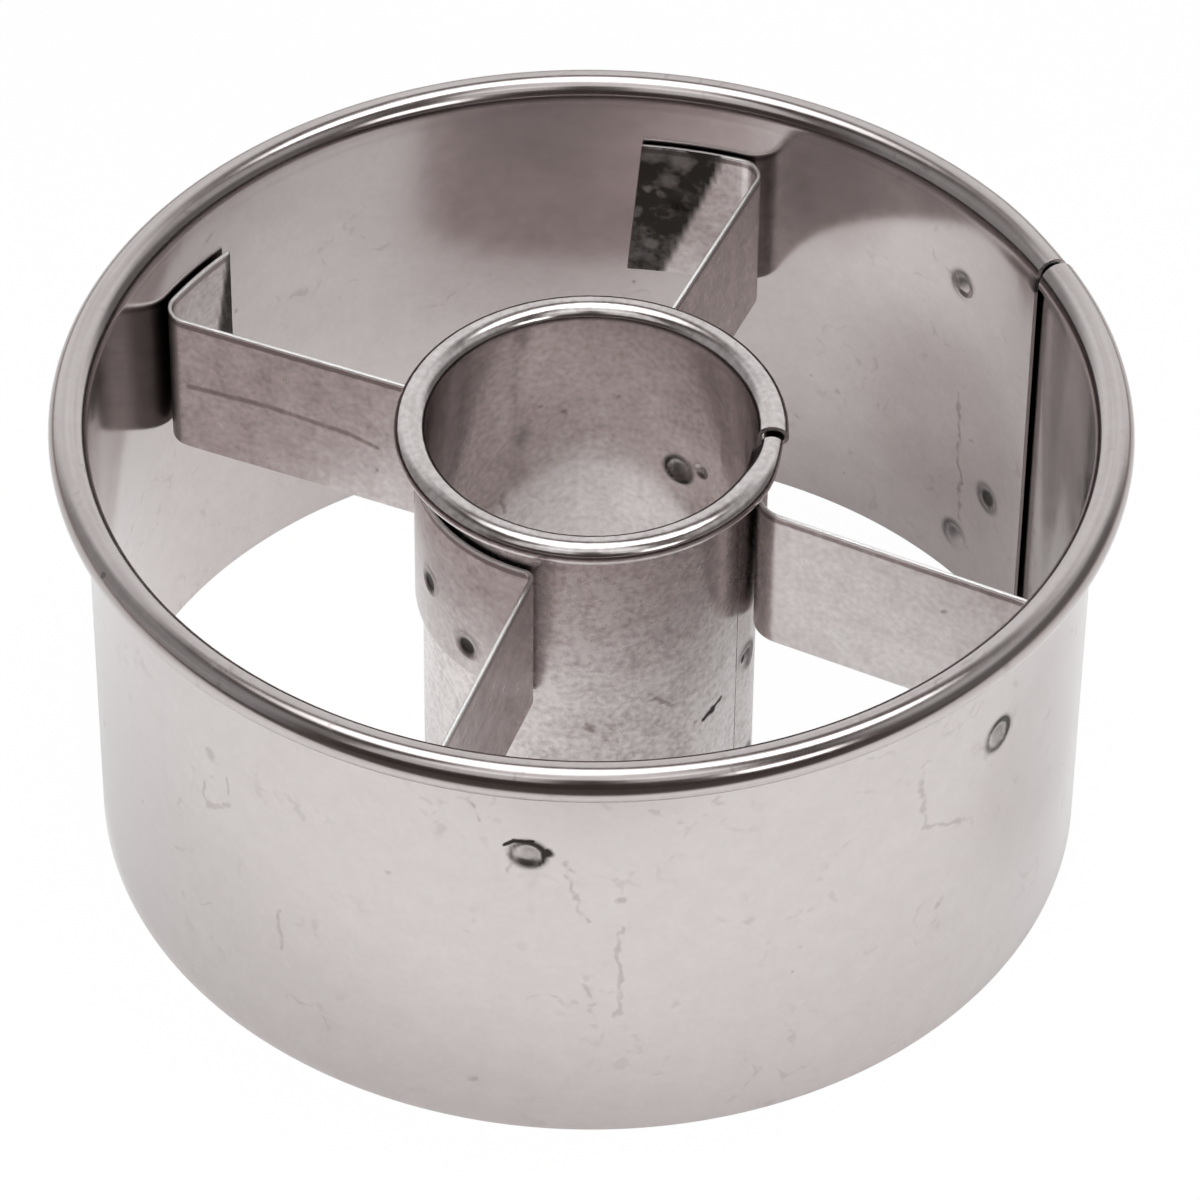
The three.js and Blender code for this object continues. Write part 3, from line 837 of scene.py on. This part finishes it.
# an arm's bend is its radius at the inner ring, its slant is how much longer its tab is at the bottom, and
# tab_darkening reaches so far from the tab's end at the strip's lower and upper edge. Marks are given by
# face, millimetres along the strip and above its lower edge, with radii for the round ones. The inside is
# the face on the left of the strip's run.
STRIPS = [
    {
        "name": "front_left",
        "start": {
            "name": "left", "azimuth": 157, "aside": -0.0025, "bend": ROOT_BEND,
            "tab": 0.0082, "slant": 0,
            # the left tab is darkened towards its end on both faces, on its inner face widest at the lower
            # edge
            "tab_darkening": [
                {"face": INSIDE, "lower": 0.0034, "upper": 0.0003, "dark": 1.0},
                {"face": OUTSIDE, "lower": 0.0112, "upper": 0.0112, "dark": 0.55},
            ],
        },
        "end": {
            "name": "front", "azimuth": 251, "aside": -0.0002, "bend": SHARP_BEND,
            "tab": 0.0095, "slant": 0,
            "tab_darkening": [],
        },
        "wrap_welds": FRONT_LEFT_WRAP_WELDS,
        "brightness": (0.46, 0.66),
        "scuffs": [(OUTSIDE, 22, 11.5, 0.4), (OUTSIDE, 31, 4, 0.4)],
        "stains": [(OUTSIDE, 52, 4, 9)],
        # painted reflection: a dark line along the left arm, where the outer ring's bottom rim is
        # reflected
        "reflection_lines": [(OUTSIDE, [(12.3, 7.4), (20.1, 7.8), (28.1, 7.4), (31, 6.7)])],
        "flecks": [],
    },
    {
        "name": "back_right",
        "start": {
            "name": "right", "azimuth": -26.3, "aside": 0.0004, "bend": ROOT_BEND,
            "tab": 0.0095, "slant": 0,
            "tab_darkening": [],
        },
        "end": {
            "name": "back", "azimuth": 67, "aside": -0.0012, "bend": ROOT_BEND,
            "tab": 0.0095, "slant": 0.0012,
            "tab_darkening": [{"face": INSIDE, "lower": 0.003, "upper": 0.0078, "dark": 0.95}],
        },
        "wrap_welds": BACK_RIGHT_WRAP_WELDS,
        "brightness": (0.83, 0.72),
        "scuffs": [(INSIDE, 20, 10.7, 0.5), (OUTSIDE, 73, 8, 0.4)],
        "stains": [(INSIDE, 94, 7, 9)],
        "reflection_lines": [],
        "flecks": [
            (INSIDE, 100.4, 14.0, 1.6),
            (INSIDE, 97.6, 13.9, 1.8),
            (INSIDE, 101.3, 7.2, 0.9),
            (INSIDE, 99.3, 9.3, 0.7),
            (INSIDE, 100.6, 9.9, 0.6),
            (INSIDE, 98.5, 11.1, 1.2),
            (INSIDE, 99.8, 3.3, 1.0),
        ],
    },
]


def strip_page(face, along, up):
    return Vector((along, up, face * PAGE_GAP))


def strip_look(strip):
    """The tinned sheet of one strip."""
    low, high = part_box(strip["name"] + "_strip")
    return {
        "name": strip["name"] + "_tinned_sheet",
        "brightness": strip["brightness"],
        "mottling": (0.35, 0.35),
        "grain": 1.0,
        "roughness": (0.25, 0.25),
        "unevenness": 0.06,
        "pitting": 0.35,
        "scratching": 0.4,
        "handled": 0,
        "bead": None,
        "cut_row": (high.z - low.z) * MILLIMETRES,
        "lines": [],
        "spots": [(strip_page(*spot), radius) for *spot, radius in strip["scuffs"]],
        "stains": [(strip_page(*spot), radius) for *spot, radius in strip["stains"]],
        "reflection_lines": [[strip_page(face, *spot) for spot in line] for face, line in strip["reflection_lines"]],
        "charred_lines": [],
        "charred_spots": [],
        "flecks": [(strip_page(*spot), radius) for *spot, radius in strip["flecks"]],
    }


def arm_bends(arm, side):
    """The middles and bearings of an arm's two bends. side is 1 where the wrap lies counter-clockwise."""
    azimuth = math.radians(arm["azimuth"])
    root_distance = WRAP_RADIUS + arm["bend"]
    wall_distance = TAB_RADIUS - WALL_BEND
    root_azimuth = azimuth + side * math.asin((arm["aside"] + arm["bend"]) / root_distance)
    wall_azimuth = azimuth - side * math.asin((WALL_BEND - arm["aside"]) / wall_distance)
    return {
        "azimuth": azimuth,
        "bend": arm["bend"],
        "root_azimuth": root_azimuth,
        "wall_azimuth": wall_azimuth,
        "tab_end": wall_azimuth - side * arm["tab"] / TAB_RADIUS,
        "root": np.array([math.cos(root_azimuth), math.sin(root_azimuth)]) * root_distance,
        "wall": np.array([math.cos(wall_azimuth), math.sin(wall_azimuth)]) * wall_distance,
    }


def strip_plan(start, end):
    """The strip's run seen from above: its arcs as centre, radius, first and last bearing, and turn."""
    centre = np.zeros(2)
    quarter = math.pi / 2
    return [
        (centre, TAB_RADIUS, start["tab_end"], start["wall_azimuth"], 1),
        (start["wall"], WALL_BEND, start["wall_azimuth"], start["azimuth"] + quarter, 1),
        (start["root"], start["bend"], start["azimuth"] - quarter, start["root_azimuth"] - math.pi, -1),
        (centre, WRAP_RADIUS, start["root_azimuth"], end["root_azimuth"], 1),
        (end["root"], end["bend"], end["root_azimuth"] + math.pi, end["azimuth"] + quarter, -1),
        (end["wall"], WALL_BEND, end["azimuth"] - quarter, end["wall_azimuth"], 1),
        (centre, TAB_RADIUS, end["wall_azimuth"], end["tab_end"], 1),
    ]


def strip_run(strip):
    """The points of a strip's run seen from above, and the direction to its left at each."""
    start, end = arm_bends(strip["start"], 1), arm_bends(strip["end"], -1)
    points, lefts = [], []
    for middle, radius, first, last, turn in strip_plan(start, end):
        step = TAB_STEP if radius == TAB_RADIUS else min(FINE_STEP, radius / ARC_STEPS)
        bearings = np.linspace(first, last, math.ceil(abs(last - first) * radius / step) + 1)
        ray = np.stack([np.cos(bearings), np.sin(bearings)], axis=1)
        arc = middle + radius * ray
        if points:
            gap = np.linalg.norm(arc[0] - points[-1][-1])
            if gap > COARSE_STEP:
                share = np.linspace(0, 1, math.ceil(gap / COARSE_STEP) + 1)[1:-1, None]
                points.append(points[-1][-1] * (1 - share) + arc[0] * share)
                lefts.append(np.repeat(lefts[-1][-1:], len(share), axis=0))
            else:
                arc, ray = arc[1:], ray[1:]
        points.append(arc)
        lefts.append(-turn * ray)
    return np.concatenate(points), np.concatenate(lefts)


def bridge_strip(strip):
    points, lefts = strip_run(strip)
    along = np.concatenate([[0], np.cumsum(np.linalg.norm(np.diff(points, axis=0), axis=1))])
    low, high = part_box(strip["name"] + "_strip")
    tab_welds = [strip[arm]["name"] + "_tab_weld" for arm in ("start", "end")]
    welds = strip["wrap_welds"] + tab_welds
    level = steps(low.z, high.z, [weld_place(node)[1] for node in welds])
    plan = np.repeat(points[:, None, :], len(level), axis=1)
    shape = plan.shape[:2]
    scorch_and_shade = np.zeros((2,) + shape)
    for node in welds:
        azimuth, height = weld_place(node)
        radius, way = (WRAP_RADIUS, -1) if node in strip["wrap_welds"] else (TAB_RADIUS, 1)
        spot = radius * np.array([math.cos(azimuth), math.sin(azimuth)])
        nearest = np.argmin(np.linalg.norm(points - spot, axis=1))
        across, up = np.broadcast_arrays((along - along[nearest])[:, None], (level - height)[None, :])
        push = dent(node, np.hypot(across, up)) * way
        plan = plan + push[:, :, None] * (spot / radius)
        scorch_and_shade = np.maximum(scorch_and_shade, weld_scorch_and_shade(node, across, up))
    above = ((level - low.z) / (high.z - low.z))[None, :]
    for arm, tail, way in ((strip["start"], along, -1), (strip["end"], along[-1] - along, 1)):
        near_end = np.clip(1 - tail / arm["tab"], 0, 1)[:, None]
        turn = way * arm["slant"] / TAB_RADIUS * near_end * (1 - above)
        plan = plan + turn[:, :, None] * np.stack([-plan[:, :, 1], plan[:, :, 0]], axis=2)
        for tab_darkening in arm["tab_darkening"]:
            reach = tab_darkening["lower"] + (tab_darkening["upper"] - tab_darkening["lower"]) * above
            tab_darkened = tab_darkening["dark"] * smooth(reach - tail[:, None], -DARKENING_EDGE, DARKENING_EDGE)
            scorch_and_shade[tab_darkening["face"]] = np.maximum(scorch_and_shade[tab_darkening["face"]], tab_darkened)
    middle = np.concatenate([plan, np.broadcast_to(level[None, :, None], shape + (1,))], axis=2)
    normals = np.zeros(shape + (3,))
    normals[:, :, :2] = lefts[:, None, :]
    blank = np.stack(np.broadcast_arrays(along[:, None], (level - low.z)[None, :]), axis=2)
    present = np.ones((shape[0] - 1, shape[1] - 1), bool)
    name = "bent_" + strip["name"] + "_strip"
    return sheet_piece(name, middle, normals, blank, scorch_and_shade, present, STRIP_ROUNDING)


for strip in STRIPS:
    piece = bridge_strip(strip)
    piece.data.materials.append(tinned_sheet(strip_look(strip)))
    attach(piece, "root")
    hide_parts(strip["name"] + "_strip")


# Spot welds. Each is a small pad of metal, melted and pressed flat between two sheets, and hollowed on
# both faces where the dents of the sheets reach in.
PAD_RADIUS = 0.0012
PAD_RINGS = 8
PAD_SIDES = 32
PAD_CLEARANCE = 0.00001
PAD_LEAST = 0.00001  # half thickness where the dents come closest
PAD_COLOUR = (0.33, 0.31, 0.3, 1)
PAD_TINT = (0.42, 0.37, 0.31, 1)
PAD_ROUGHNESS = 0.4
PAD_UNEVENNESS = 0.2
PAD_GRAIN = 900  # waves to the metre


def weld_pad(node, gap):
    """A weld's pad, bent to the walls that it joins, which lie a gap apart."""
    low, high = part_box(node)
    middle = (low + high) / 2
    azimuth, level = weld_place(node)
    distance = math.hypot(middle.x, middle.y)
    shape = bmesh.new()
    faces = []
    for side in (1, -1):
        grid = []
        for ring in range(PAD_RINGS + 1):
            out = PAD_RADIUS * ring / PAD_RINGS
            half = max(PAD_LEAST, gap / 2 - float(dent(node, out)) - PAD_CLEARANCE)
            row = []
            for turn in range(PAD_SIDES if ring else 1):
                angle = FULL_TURN * turn / PAD_SIDES
                bent = azimuth + out * math.cos(angle) / distance
                reach = distance + side * half
                place = (reach * math.cos(bent), reach * math.sin(bent), level + out * math.sin(angle))
                row.append(shape.verts.new(place))
            grid.append(row)
        for ring in range(PAD_RINGS):
            for turn in range(PAD_SIDES):
                after = (turn + 1) % PAD_SIDES
                inner, outer = grid[ring], grid[ring + 1]
                corners = [outer[turn], outer[after], inner[after % len(inner)], inner[turn % len(inner)]]
                shape.faces.new(list(dict.fromkeys(corners)))
        faces.append(grid[-1])
    for turn in range(PAD_SIDES):
        after = (turn + 1) % PAD_SIDES
        shape.faces.new([faces[0][turn], faces[0][after], faces[1][after], faces[1][turn]])
    bmesh.ops.recalc_face_normals(shape, faces=shape.faces)
    mesh = bpy.data.meshes.new(node + "_pad")
    shape.to_mesh(mesh)
    shape.free()
    mesh.shade_smooth()
    pad = bpy.data.objects.new(node + "_pad", mesh)
    bpy.context.scene.collection.objects.link(pad)
    return pad


def welded_metal():
    """Metal that was melted: dull, grainy and tinted by the heat."""
    finish = bpy.data.materials.new("weld_metal")
    finish.use_nodes = True
    finish.node_tree.nodes.clear()
    wire = Wire(finish.node_tree)
    place = wire.node("ShaderNodeTexCoord", output="Object")
    sockets = {"Vector": place, "Scale": PAD_GRAIN, "Detail": 4}
    grain = wire.node("ShaderNodeTexNoise", {}, sockets, "Fac")
    tints = {"Factor": grain, "A": PAD_COLOUR, "B": PAD_TINT}
    colour = wire.node("ShaderNodeMix", {"data_type": "RGBA"}, tints)
    bump = wire.node("ShaderNodeBump", {}, {"Height": grain, "Distance": BUMP_HEIGHT, "Strength": 1})
    metal = wire.node("ShaderNodeBsdfPrincipled", {}, {
        "Base Color": colour,
        "Metallic": 1.0,
        "Roughness": PAD_ROUGHNESS + grain * PAD_UNEVENNESS,
        "Normal": bump,
    })
    wire.node("ShaderNodeOutputMaterial", {}, {"Surface": metal})
    return finish


pad_finish = welded_metal()
for node in OUTER_SEAM_WELDS + TAB_WELDS + INNER_SEAM_WELDS + WRAP_WELDS:
    pad = weld_pad(node, INNER_LAP_GAP if node in INNER_SEAM_WELDS else SHEET_GAP)
    pad.data.materials.append(pad_finish)
    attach(pad, "root")
    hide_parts(node)
